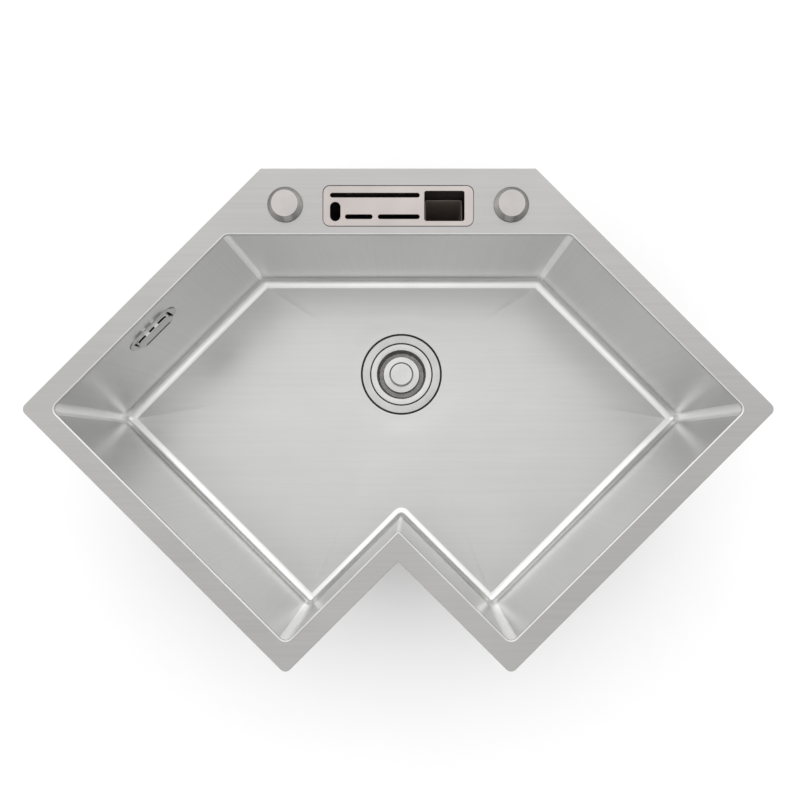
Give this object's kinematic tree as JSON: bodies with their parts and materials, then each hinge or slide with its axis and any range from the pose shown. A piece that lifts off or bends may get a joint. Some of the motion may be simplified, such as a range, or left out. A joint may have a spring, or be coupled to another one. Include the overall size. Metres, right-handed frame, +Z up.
{
  "type": "corner kitchen sink",
  "caption": "L-shaped drop-in stainless corner sink with a deck across the corner, covered tap holes, lift-out knife holder, overflow, basket strainer and worktop clamps.",
  "frame": {"origin": "on the worktop, on the plane of symmetry, under the middle of the deck's seal, 5.5 mm in front of the deck's back edge", "axes": "+X along the sink's widest extent, to the right as seen by someone at the sink, +Y towards the room's corner, +Z up out of the worktop"},
  "size_m": [1.0108, 0.6772, 0.3563],
  "materials": {
    "brushed_steel": "satin brushed stainless steel",
    "polished_steel": "finely polished stainless steel",
    "silver_plate": "matt silver anodised plate",
    "zinc_steel": "zinc-plated steel",
    "black_abs": "moulded black ABS, fine texture",
    "black_plastic": "moulded black polypropylene",
    "grey_plastic": "moulded off-white polypropylene",
    "black_rubber": "matt black rubber",
    "sound_rubber": "self-adhesive sound-deadening rubber",
    "grey_foam": "closed-cell foam sealing strip"
  },
  "bodies": {
    "sink": {"rim_panel": "brushed_steel", "bowl": "brushed_steel", "holder_ledge": "brushed_steel", "overflow_cover": "brushed_steel", "strainer_cup": "polished_steel", "tap_cover_left": "polished_steel", "tap_cover_right": "polished_steel", "drain_housing": "black_plastic", "overflow_housing": "black_plastic", "tail_pipe": "grey_plastic", "outlet_nut": "grey_plastic", "tap_cover_nut_left": "grey_plastic", "tap_cover_nut_right": "grey_plastic", "overflow_hose": "grey_plastic", "flange_seal": "black_rubber", "housing_gasket": "black_rubber", "outlet_washer": "black_rubber", "tap_cover_seal_left": "black_rubber", "tap_cover_seal_right": "black_rubber", "tap_cover_washer_left": "black_rubber", "tap_cover_washer_right": "black_rubber", "holder_seal": "black_rubber", "overflow_gasket": "black_rubber", "sound_pad_left_floor": "sound_rubber", "sound_pad_right_floor": "sound_rubber", "sound_pad_back": "sound_rubber", "sound_pad_left_end": "sound_rubber", "sound_pad_right_end": "sound_rubber", "sound_pad_right_back": "sound_rubber", "rim_seal": "grey_foam", "centre_screw": "zinc_steel", "overflow_nut_1": "zinc_steel", "overflow_nut_2": "zinc_steel", "hose_clamp_top": "zinc_steel", "hose_clamp_bottom": "zinc_steel", "clamp_bracket_left_back": "zinc_steel", "clamp_screw_left_back": "zinc_steel", "clamp_nut_left_back": "zinc_steel", "clamp_bracket_left_end": "zinc_steel", "clamp_screw_left_end": "zinc_steel", "clamp_nut_left_end": "zinc_steel", "clamp_bracket_right_end": "zinc_steel", "clamp_screw_right_end": "zinc_steel", "clamp_nut_right_end": "zinc_steel", "clamp_bracket_right_back": "zinc_steel", "clamp_screw_right_back": "zinc_steel", "clamp_nut_right_back": "zinc_steel"},
    "knife_holder": {"holder_plate": "silver_plate", "knife_box": "black_abs"},
    "tool_cup": {"tool_cup": "black_abs"},
    "strainer_basket": {"strainer_basket": "polished_steel", "basket_seal": "black_rubber", "basket_knob": "polished_steel", "basket_stem": "polished_steel", "stopper_seal": "black_rubber"},
    "clamp_jaw_left_back": {"clamp_jaw_left_back": "zinc_steel"},
    "clamp_jaw_left_end": {"clamp_jaw_left_end": "zinc_steel"},
    "clamp_jaw_right_end": {"clamp_jaw_right_end": "zinc_steel"},
    "clamp_jaw_right_back": {"clamp_jaw_right_back": "zinc_steel"}
  },
  "joints": [
    {"name": "holder_lift", "type": "slide", "parent": "sink", "child": "knife_holder", "axis": [0, 0, 1], "range_m": [0, 0.14]},
    {"name": "tool_cup_lift", "type": "slide", "parent": "knife_holder", "child": "tool_cup", "axis": [0, 0, 1], "range_m": [0, 0.12]},
    {"name": "basket_lift", "type": "slide", "parent": "sink", "child": "strainer_basket", "axis": [0, 0, 1], "range_m": [0, 0.1]},
    {"name": "clamp_swing_left_back", "type": "hinge", "parent": "sink", "child": "clamp_jaw_left_back", "pos_m": [-0.42683, -0.26506, -0.0465], "axis": [0, 0, 1], "range_deg": [0, 90]},
    {"name": "clamp_swing_left_end", "type": "hinge", "parent": "sink", "child": "clamp_jaw_left_end", "pos_m": [-0.31608, -0.4824, -0.0465], "axis": [0, 0, 1], "range_deg": [0, 90]},
    {"name": "clamp_swing_right_end", "type": "hinge", "parent": "sink", "child": "clamp_jaw_right_end", "pos_m": [0.31608, -0.4824, -0.0465], "axis": [0, 0, 1], "range_deg": [0, 90]},
    {"name": "clamp_swing_right_back", "type": "hinge", "parent": "sink", "child": "clamp_jaw_right_back", "pos_m": [0.42683, -0.26506, -0.0465], "axis": [0, 0, 1], "range_deg": [0, 90]}
  ]
}
